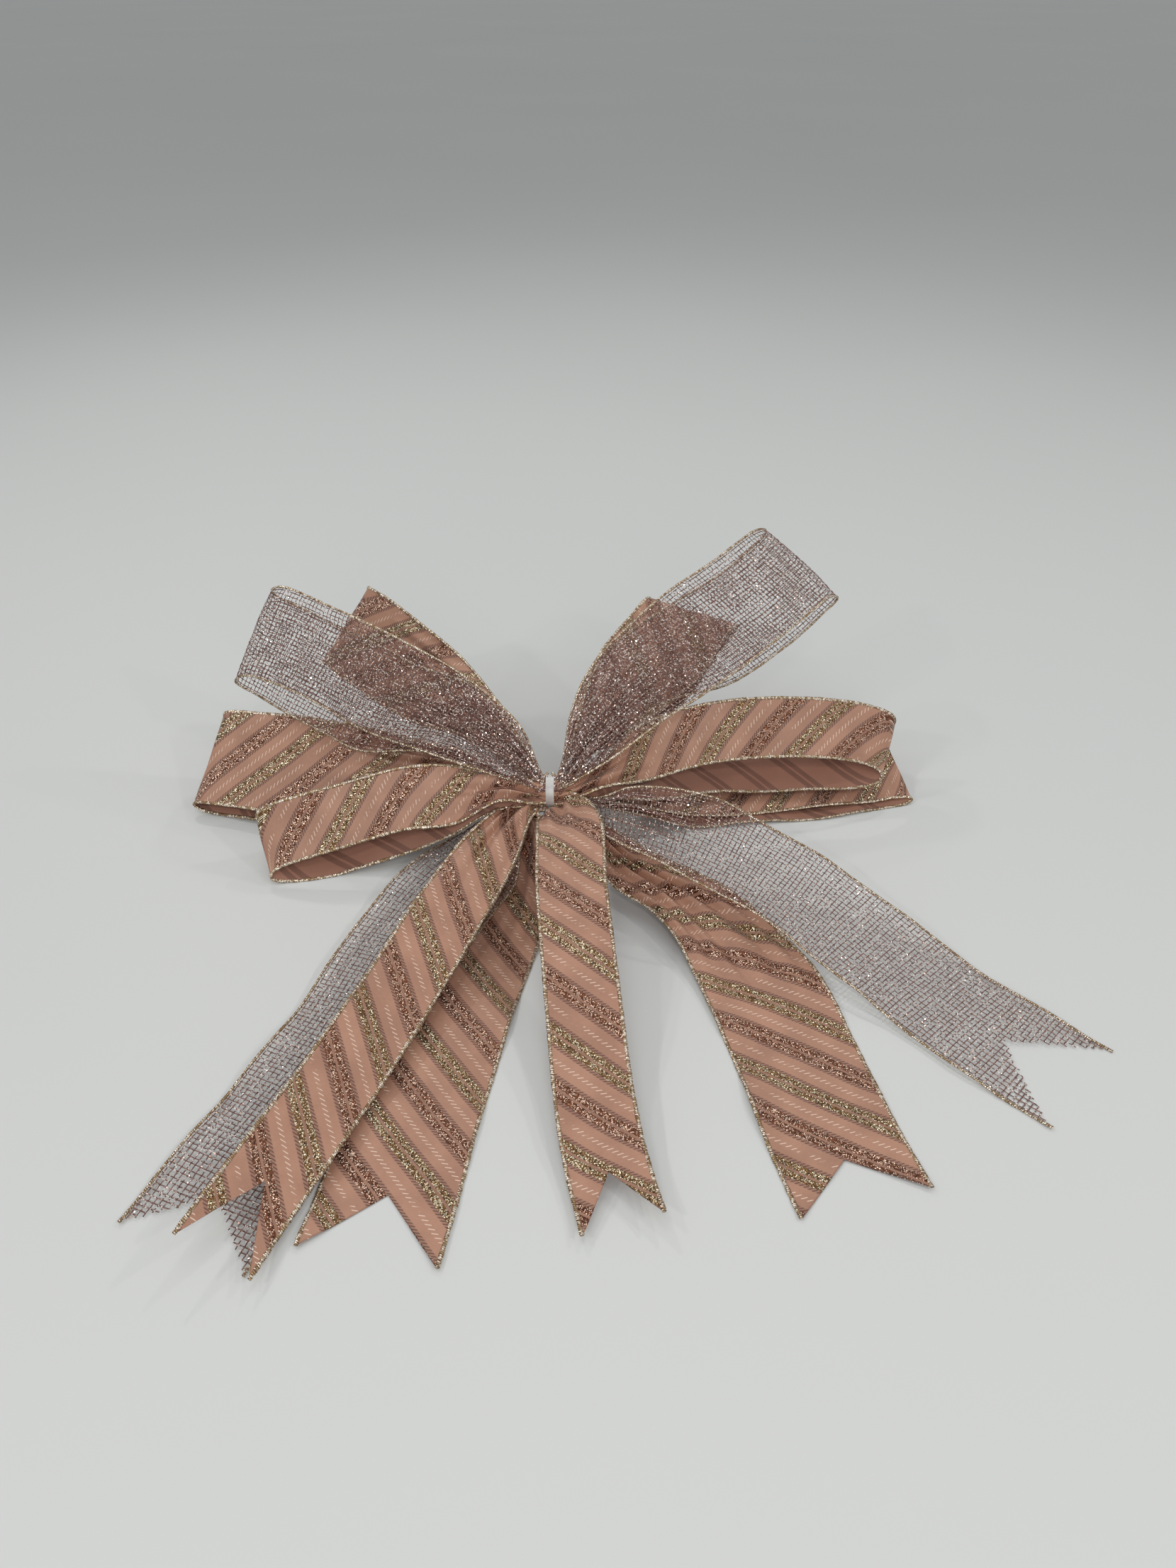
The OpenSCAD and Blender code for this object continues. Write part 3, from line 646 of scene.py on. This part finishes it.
class Ribbon:
    """One stretch of ribbon: a surface in millimetres over t, the way along it, and u from -1 to 1."""

    def __init__(self, name):
        self.name = name
        self.kind, self.notch, self.pleats, seed = RIBBONS[name]
        self.width = WIDTHS[self.kind]
        self.is_loop = name.endswith("loop")
        self.random = np.random.default_rng(seed)
        self.phases = self.random.uniform(0, 2 * math.pi, 12)
        stations = np.array(STATIONS[name], float)
        rows = [tucked(stations[0]), *stations]
        if self.is_loop:
            rows.append(tucked(stations[-1]))
        fine = smooth(np.array(rows), FINE_STEPS)
        self.middle = fine[:, :3] - [0, 0, FACE_Z]
        run = unit(np.gradient(self.middle, axis=0))
        az, el = np.radians(fine[:, 3]), np.radians(fine[:, 4])
        across = np.stack([np.cos(el) * np.cos(az), np.cos(el) * np.sin(az), np.sin(el)], 1)
        if not self.is_loop:
            squared = unit(across - run * (across * run).sum(1, keepdims=True))
            ease = np.clip((np.arange(len(fine)) / FINE_STEPS - 1) * 2, 0, 1)[:, None]
            across = unit(across * (1 - ease) + squared * ease)
        self.across, self.run = across, run
        self.face = unit(np.cross(run, across))
        self.share, self.bow = fine[:, 5], fine[:, 6]
        self.t = np.concatenate([[0], np.cumsum(np.linalg.norm(np.diff(self.middle, axis=0), axis=1))])
        self.length = self.t[-1]
        # the glitter side faces out of a loop and up on a tail
        self.glitter = -1 if name.startswith("left") and self.is_loop else 1

    def value(self, table, t):
        """A number or vector of the ribbon's run, read off at t."""
        if table.ndim == 1:
            return np.interp(t, self.t, table)
        return np.stack([np.interp(t, self.t, table[:, k]) for k in range(3)], -1)

    def ripple(self, t, u):
        """Height of the pleats and creases, deepest where the ribbon is drawn together."""
        from_tie = np.minimum(t, self.length - t) if self.is_loop else t
        slack = np.sqrt(np.clip(1 - self.value(self.share, t) ** 2, 0, 1))
        most = np.minimum(self.width / (2 * self.pleats) * slack, PLEAT_MOST)
        height = np.minimum(most, PLEAT_ROOT + PLEAT_GROWTH * from_tie)
        p = self.phases
        wander = 0.10 * np.sin(2.4 * u + p[0] + t / 37) + 0.06 * np.sin(5.3 * u + p[1] - t / 23)
        pleats = np.sin(math.pi * self.pleats * (u + 1 + wander) / 2 + p[2])
        pleats += 0.35 * np.sin(math.pi * self.pleats * 0.63 * (u + wander) + p[3])
        x = u * self.width / 2
        creases = (np.sin(t / 11 + x / 17 + p[4]) * np.sin(x / 9 - t / 31 + p[5])
                   + 0.6 * np.sin(t / 5.1 - x / 7 + p[6]) * np.sin(t / 43 + p[7])
                   + 0.8 * np.sin(x / 6.3 + p[8]) * np.exp(-from_tie / 45))
        waves = np.sin(t / 10.5 + p[9]) * u**2 + 0.7 * np.sin(t / 17 - u * 1.4 + p[10])
        return height * pleats / 1.2 + CREASE * creases + WAVE * waves * np.clip(from_tie / 60, 0, 1)

    def point(self, t, u, lift=0.0, side=0.0):
        """Points in metres; side moves them outwards past the edge, lift off the face."""
        t, u = np.broadcast_arrays(np.asarray(t, float), np.asarray(u, float))
        across = u * (self.width / 2 * self.value(self.share, t) + side)
        rise = lift + self.value(self.bow, t) * (1 - u**2) + self.ripple(t, u)
        p = (self.value(self.middle, t) + self.value(self.across, t) * across[..., None]
             + self.value(self.face, t) * rise[..., None])
        lowest = -FACE_Z + CLOTH_T / 2 + np.minimum(lift, 0) + ABOVE_FLOOR
        p[..., 2] = np.maximum(p[..., 2], lowest)
        return p * MM

    def place(self, t, u):
        """Where points lie on the ribbon, for the woven pattern, seen from the glitter side."""
        t, u = np.broadcast_arrays(np.asarray(t, float), np.asarray(u, float))
        x = u * self.width / 2
        skew = (self.value(self.run, t) * self.value(self.across, t)).sum(-1)
        return np.stack([self.glitter * x, t + x * skew * self.value(self.share, t)], -1)

    def cut(self, u):
        """How far along the ribbon its cut end lies at u."""
        return self.length - (1 - np.abs(u)) * self.notch


def make_mesh(name, points, quads, places, materials, slots=None, smooth_shade=True):
    """A mesh piece from points, faces, and each point's place on its ribbon in millimetres."""
    mesh = bpy.data.meshes.new(name)
    points = np.asarray(points, float).reshape(-1, 3)
    quads = np.asarray(quads, int)
    mesh.vertices.add(len(points))
    mesh.vertices.foreach_set("co", points.ravel())
    mesh.loops.add(quads.size)
    mesh.loops.foreach_set("vertex_index", quads.ravel())
    mesh.polygons.add(len(quads))
    mesh.polygons.foreach_set("loop_start", np.arange(0, quads.size, 4))
    mesh.polygons.foreach_set("use_smooth", np.full(len(quads), smooth_shade))
    for material in materials:
        mesh.materials.append(material)
    if slots is not None:
        mesh.polygons.foreach_set("material_index", np.asarray(slots, int))
    mesh.update(calc_edges=True)
    uv = mesh.uv_layers.new(name="ribbon_mm")
    uv.data.foreach_set("uv", np.asarray(places, float).reshape(-1, 2)[quads.ravel()].ravel())
    mesh.validate()
    obj = bpy.data.objects.new(name, mesh)
    bpy.context.scene.collection.objects.link(obj)
    return obj


def grid_quads(rows, columns, start=0, closed=False):
    """Faces of a grid of points numbered row by row; closed joins the last column to the first."""
    i, j = np.meshgrid(np.arange(rows - 1), np.arange(columns if closed else columns - 1), indexing="ij")
    nxt = (j + 1) % columns
    quads = [i * columns + j, i * columns + nxt, (i + 1) * columns + nxt, (i + 1) * columns + j]
    return np.stack(quads, -1).reshape(-1, 4) + start


def satin_cloth(r):
    """The woven cloth: two skins a cloth's thickness apart, joined round the edge."""
    rows = int(r.length / ROW_EVERY)
    columns = COLUMNS[r.kind]
    u = np.linspace(-1, 1, columns)[None, :]
    t = np.linspace(0, 1, rows)[:, None] * r.cut(u)
    inset = -BINDING_W * UNDER_BINDING
    top = r.point(t, u, CLOTH_T / 2, inset)
    bottom = r.point(t, u, -CLOTH_T / 2, inset)
    count = rows * columns
    upper = grid_quads(rows, columns)
    lower = grid_quads(rows, columns, count)[:, ::-1]
    ring = np.concatenate([
        np.arange(columns), np.arange(1, rows) * columns + columns - 1,
        (rows - 1) * columns + np.arange(columns - 2, -1, -1), np.arange(rows - 2, 0, -1) * columns])
    nxt = np.roll(ring, -1)
    wall = np.stack([ring, ring + count, nxt + count, nxt], -1)
    quads = np.vstack([upper[:, ::-1], lower[:, ::-1], wall])
    up, down = (0, 1) if r.glitter > 0 else (1, 0)
    slots = np.concatenate([np.full(len(upper), up), np.full(len(lower), down), np.zeros(len(wall))])
    place = np.vstack([r.place(t, u).reshape(-1, 2)] * 2)
    points = np.vstack([top.reshape(-1, 3), bottom.reshape(-1, 3)])
    return make_mesh(f"{r.name}_cloth", points, quads, place, [SATIN_FACE, SATIN_REVERSE], slots)


WIND_SIDES = 8
WIND_RELIEF = 0.16
# Half the width of a bound edge, half its thickness, and the radius its thread runs round at
BEAD_HALF = {"wide": 0.98, "narrow": 0.98, "net": 0.75}
BEAD_RISE = 0.6
BEAD_ROUND = 0.55


def bound_edges(r):
    """The two edges overlocked with metallic thread, each winding standing proud."""
    t = np.arange(0, r.length, WIND_EVERY / 4)
    angle = np.arange(WIND_SIDES) / WIND_SIDES * 2 * math.pi
    points, quads, places = [], [], []
    for u in (-1, 1):
        centre = r.point(t, u, 0.0, -BINDING_W / 2)
        run = unit(np.gradient(centre, axis=0))
        across = r.value(r.across, t)
        across = unit(across - run * (across * run).sum(1, keepdims=True))
        face = np.cross(run, across)
        wind = 1 + WIND_RELIEF * np.sin(2 * math.pi * t[:, None] / WIND_EVERY + angle[None, :])
        wobble = 1 + WIND_RELIEF * np.sin(t / 3.7 + r.phases[9]) * np.sin(t / 1.9 + r.phases[10])
        wide = BEAD_HALF[r.kind] * MM * wind * wobble[:, None] * np.cos(angle)
        high = BEAD_RISE * MM * wind * np.sin(angle)
        ring = centre[:, None] + across[:, None] * wide[..., None] + face[:, None] * high[..., None]
        ring[..., 2] = np.maximum(ring[..., 2], FLOOR_Z + FLOOR_GAP)
        start = sum(len(p) for p in points)
        points.append(ring.reshape(-1, 3))
        quads.append(grid_quads(len(t), WIND_SIDES, start, closed=True))
        # three faces close each end of the bead
        for row, order in ((0, 1), (len(t) - 1, -1)):
            cap = start + row * WIND_SIDES + np.array([[0, 1, 2, 7], [7, 2, 3, 6], [6, 3, 4, 5]])
            quads.append(cap[:, ::order])
        # the turn round the bead in millimetres, with the two edges well apart
        around = np.broadcast_to(angle[None, :] * BEAD_ROUND + 3 * u, ring.shape[:2])
        along = np.broadcast_to(t[:, None], ring.shape[:2])
        places.append(np.stack([around, along], -1).reshape(-1, 2))
    points, quads, places = np.vstack(points), np.vstack(quads), np.vstack(places)
    return make_mesh(f"{r.name}_edges", points, quads, places, [BINDING])


# The net: distance between its threads, their width and thickness, how far they weave over
# and under, how unevenly the wefts lie, and how far short of the cut a warp may end
NET_EVERY = 2.7
NET_W = 0.6
NET_T = 0.3
NET_WEAVE = 0.14
NET_JITTER = 0.16
NET_RAGGED = (-0.3, 1.4)
# The share of its outline that the net's thread covers
NET_COVER = 0.42
# Loose glitter: flakes to a millimetre of ribbon, how far off the thread, how tilted, how far
# out they go as a share of the width, half the size of the smallest and largest, and the share
# of them that lie on wefts
FLAKES_PER_MM = 8
FLAKE_LIFT = 0.22
FLAKE_TILT = 0.35
FLAKE_REACH = 0.97
FLAKE_HALF = (0.32, 0.58)
ON_WEFTS = 0.5


def threads(name, lines):
    """Flattened threads along (points, side, face, place) lines, each a four-sided tube."""
    points, quads, places, start = [], [], [], 0
    for line, side, face, place in lines:
        if len(line) < 2:
            continue
        wide, high = side * NET_W / 2 * MM, face * NET_T / 2 * MM
        ring = np.stack([line - wide, line + high, line + wide, line - high], 1)
        points.append(ring.reshape(-1, 3))
        quads.append(grid_quads(len(line), 4, start, closed=True))
        quads.append(start + np.array([[0, 1, 2, 3]]))
        quads.append(start + (len(line) - 1) * 4 + np.array([[3, 2, 1, 0]]))
        places.append(np.repeat(place, 4, axis=0))
        start += ring.size // 3
    return make_mesh(name, np.vstack(points), np.vstack(quads), np.vstack(places), [THREAD])


def net_lines(r):
    """The threads of the net: warps along the ribbon and wefts across it, woven over and under."""
    warps = np.linspace(-1, 1, int(r.width / NET_EVERY) + 1)[1:-1]
    edge = 1 - BINDING_W * UNDER_BINDING / (r.width / 2)
    crossing = np.concatenate([[-edge], warps, [edge]])
    rows = np.arange(NET_EVERY / 2, r.length, NET_EVERY)
    jitter = r.random.normal(0, NET_JITTER, len(rows))
    lines = []
    for k, u in enumerate(warps):
        end = r.cut(u) - (0 if r.is_loop else r.random.uniform(*NET_RAGGED))
        t = np.concatenate([[0], rows[rows < end], [end]])
        sway = u + 0.006 * np.sin(t / 13 + k * 1.7) + 0.004 * np.sin(t / 5 + k)
        lift = NET_WEAVE * (-1.0) ** (np.arange(len(t)) + k)
        side, face = r.value(r.across, t), r.value(r.face, t)
        lines.append((r.point(t, sway, lift), side, face, r.place(t, sway)))
    for j, t0 in enumerate(rows):
        beyond = np.where(r.cut(crossing) > t0)[0]
        for part in np.split(beyond, np.where(np.diff(beyond) > 1)[0] + 1):
            if len(part) < 2:
                continue
            u = crossing[part]
            t = t0 + jitter[j] + 0.35 * np.sin(u * 3 + j * 0.37) + np.zeros(len(u))
            lift = -NET_WEAVE * (-1.0) ** (part + j)
            side, face = r.value(r.run, t), r.value(r.face, t)
            lines.append((r.point(t, u, lift), side, face, r.place(t, u)))
    return lines


def net_glitter(r):
    """Flat flakes of glitter stuck to the threads of the net, tilted every way."""
    count = int(r.length * FLAKES_PER_MM)
    warp = np.round(r.random.uniform(-FLAKE_REACH, FLAKE_REACH, count) * r.width / NET_EVERY / 2)
    u = warp * NET_EVERY * 2 / r.width
    t = r.random.uniform(1, r.length - 1, count)
    on_weft = r.random.random(count) < ON_WEFTS
    u[on_weft] = r.random.uniform(-FLAKE_REACH, FLAKE_REACH, on_weft.sum())
    t[on_weft] = np.round(t[on_weft] / NET_EVERY - 0.5) * NET_EVERY + NET_EVERY / 2
    keep = (t > 0) & (t < r.cut(u) - 0.5) & (np.abs(u) < 0.98)
    u, t = u[keep], t[keep]
    count = len(u)
    centre = r.point(t, u, r.random.choice([-FLAKE_LIFT, FLAKE_LIFT], count))
    spin = r.random.uniform(0, math.pi, count)
    side, run, face = r.value(r.across, t), r.value(r.run, t), r.value(r.face, t)
    a = side * np.cos(spin)[:, None] + run * np.sin(spin)[:, None]
    a = unit(a + face * r.random.normal(0, FLAKE_TILT, (count, 1)))
    b = unit(np.cross(unit(face + side * r.random.normal(0, FLAKE_TILT, (count, 1))), a))
    size = r.random.uniform(*FLAKE_HALF, (count, 1)) * MM
    ring = np.stack([centre - a * size, centre - b * size, centre + a * size, centre + b * size], 1)
    quads = np.arange(count * 4).reshape(-1, 4)
    places = np.repeat(r.place(t, u), 4, axis=0)
    return make_mesh(f"{r.name}_glitter", ring, quads, places, [FLAKE], smooth_shade=False)


# ---------------------------------------------------------------- the tie and the cloth in it

# The crushed middles: how far they reach out each way, the gap under the strap, how much they
# draw in towards the ends, and the depth of their folds in the middle and what the ends add
CORE_SIDES = 168
CORE_ROWS = 31
CORE_REACH = 7.0
CORE_GAP = 0.6
CORE_TAPER = 3.6
CORE_FOLD = 0.4
CORE_FOLD_MORE = 0.8
# The tie: steps round its ring, its round corners, how much wider the head is than the strap
# on each side, the slot through the head and how far it sits below the head's middle, and the
# strap left over beyond it, a little narrower than the slot, with its teeth
RING_STEPS = 120
STRAP_CORNER = 0.35
HEAD_SIDE = 1.5
HEAD_CORNER = 0.7
SLOT_H = 2.2
SLOT_RISE = 0.6
SLOT_CORNER = 0.25
SLOT_FLARE = 1.12
STUB_L = HEAD_L + 5
STRAP_PLAY = 0.5
STUB_STEPS = 80
TOOTH = 0.12


def gathered_core():
    """All the ribbons' middles crushed together inside the tie."""
    sides, rows = CORE_SIDES, CORE_ROWS
    x = np.linspace(-CORE_REACH, CORE_REACH, rows)[:, None]
    angle = np.arange(sides)[None, :] / sides * 2 * math.pi
    outside = np.clip((np.abs(x) - STRAP_W / 2) / (CORE_REACH - STRAP_W / 2), 0, 1)
    radius = PINCH_R - CORE_GAP - CORE_TAPER * outside**1.5
    folds = (0.5 * np.sin(13 * angle + 0.35 * np.sin(x / 2)) + 0.35 * np.sin(29 * angle + 1.3 + x / 5)
             + 0.25 * np.sin(41 * angle - x / 3))
    radius = radius + (CORE_FOLD + CORE_FOLD_MORE * outside) * folds
    points = np.stack([np.broadcast_to(x, radius.shape), radius * np.sin(angle),
                       radius * np.cos(angle) + KNOT_Z - FACE_Z], -1)
    quads = list(grid_quads(rows, sides, closed=True))
    half = sides // 2
    for row, order in ((0, 1), (rows - 1, -1)):
        for k in range(half - 1):
            cap = [k, k + 1, sides - 2 - k, sides - 1 - k]
            quads.append((np.array(cap) + row * sides)[::order])
    height = np.tile(np.cos(angle[0] + math.pi / sides), rows - 1)
    slots = np.where(height > 0.5, 2, np.where(height > -0.25, 0, 1))
    slots = np.concatenate([slots, np.ones(len(quads) - len(slots))])
    places = np.stack([np.broadcast_to(angle * 9, radius.shape), np.broadcast_to(x, radius.shape)], -1)
    core = make_mesh("gathered_core", points * MM, np.array(quads), places,
                     [SATIN_FACE, SATIN_REVERSE, THREAD], slots)
    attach(core, "pinch")
    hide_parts("pinched_wide_satin", "pinched_narrow_satin", "pinched_mesh")


def rounded(width, height, radius, corner=4):
    """Outline of a rectangle with round corners, centred, as (x, z) points."""
    outline = []
    for k, (sx, sz) in enumerate(((1, 1), (-1, 1), (-1, -1), (1, -1))):
        for c in range(corner + 1):
            a = math.radians(90 * (k + c / corner))
            outline.append((sx * (width / 2 - radius) + radius * math.cos(a),
                            sz * (height / 2 - radius) + radius * math.sin(a)))
    return np.array(outline)


def cable_tie():
    """The tie's strap ring, its moulded head, and the trimmed end of the strap in the slot."""
    tie_z = KNOT_Z - FACE_Z
    points, quads = [], []

    def loft(rings, closed_run=False):
        """A skin over the rings, which ends in two caps or runs back to the first ring."""
        start = sum(len(p) for p in points)
        n = len(rings[0])
        points.append(np.vstack(rings))
        quads.append(grid_quads(len(rings), n, start, closed=True))
        if closed_run:
            last = start + (len(rings) - 1) * n
            j = np.arange(n)
            quads.append(np.stack([last + j, last + (j + 1) % n, start + (j + 1) % n, start + j], -1))
        else:
            for at, order in ((start, 1), (start + (len(rings) - 1) * n, -1)):
                for k in range(n // 2 - 1):
                    quads.append((np.array([[k, k + 1, n - 2 - k, n - 1 - k]]) + at)[:, ::order])

    strap = rounded(STRAP_W, STRAP_T, STRAP_CORNER)
    inner = PINCH_R + TIE_GAP
    ring = []
    for k in range(RING_STEPS):
        a = 2 * math.pi * k / RING_STEPS
        r = inner + STRAP_T / 2 + strap[:, 1]
        ring.append(np.stack([strap[:, 0], r * math.sin(a), tie_z + r * math.cos(a)], -1))
    loft(ring, closed_run=True)

    # The head: a block with softened edges, open along its slot
    head_w, top = STRAP_W + 2 * HEAD_SIDE, HEAD_H + STRAP_T * 0.9
    hole_z = HEAD_H / 2 - SLOT_RISE
    outer = rounded(head_w, top, HEAD_CORNER)
    hole = rounded(STRAP_W, SLOT_H, SLOT_CORNER)
    rings = []
    for y, grow in ((-1, -0.45), (-0.93, -0.12), (-0.86, 0), (0.86, 0), (0.93, -0.12), (1, -0.45)):
        scale = 1 + 2 * grow / head_w
        rings.append(np.stack([outer[:, 0] * scale, np.full(len(outer), y * HEAD_L / 2),
                               outer[:, 1] * (1 + 2 * grow / top) + top / 2], -1))
    for y in (1, 0.9, -0.9, -1):
        flare = SLOT_FLARE if abs(y) == 1 else 1
        rings.append(np.stack([hole[:, 0] * flare, np.full(len(hole), y * HEAD_L / 2),
                               hole[:, 1] * flare + hole_z], -1))
    loft(rings, closed_run=True)

    # The trimmed strap with its fine teeth
    stub = []
    for k in range(STUB_STEPS + 1):
        y = -HEAD_L + STUB_L * k / STUB_STEPS
        tooth = -TOOTH if k % 4 in (1, 2) else 0
        shape = rounded(STRAP_W - STRAP_PLAY, STRAP_T - 0.1 + tooth, 0.3)
        stub.append(np.stack([shape[:, 0], np.full(len(shape), y), shape[:, 1] + hole_z + 0.4], -1))
    loft(stub)
    mesh_points = np.vstack(points) * MM
    tie = make_mesh("nylon_cable_tie", mesh_points, np.vstack(quads), mesh_points[:, :2] / MM, [NYLON])
    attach(tie, "pinch")
    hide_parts("cable_tie")


# ---------------------------------------------------------------- build


def flat_area(r):
    """The ribbon's flat area in square millimetres, less the V cut."""
    return r.width * r.length - r.width * r.notch / 2


def hang(piece):
    """Bakes the piece's placement into its mesh."""
    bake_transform(piece)


for ribbon_name in RIBBONS:
    ribbon = Ribbon(ribbon_name)
    edges = bound_edges(ribbon)
    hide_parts(f"{ribbon_name}_bindings", f"{ribbon_name}_wires")
    pieces = [edges]
    if ribbon.kind == "net":
        main = threads(f"{ribbon_name}_threads", net_lines(ribbon))
        pieces.append(net_glitter(ribbon))
        covered = NET_COVER
    else:
        main = satin_cloth(ribbon)
        covered = 1.0
    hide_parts(ribbon_name)
    for piece in [main] + pieces:
        hang(piece)
    flat_area(ribbon) * covered * MM * MM

gathered_core()
cable_tie()
add_lights()
add_floor()
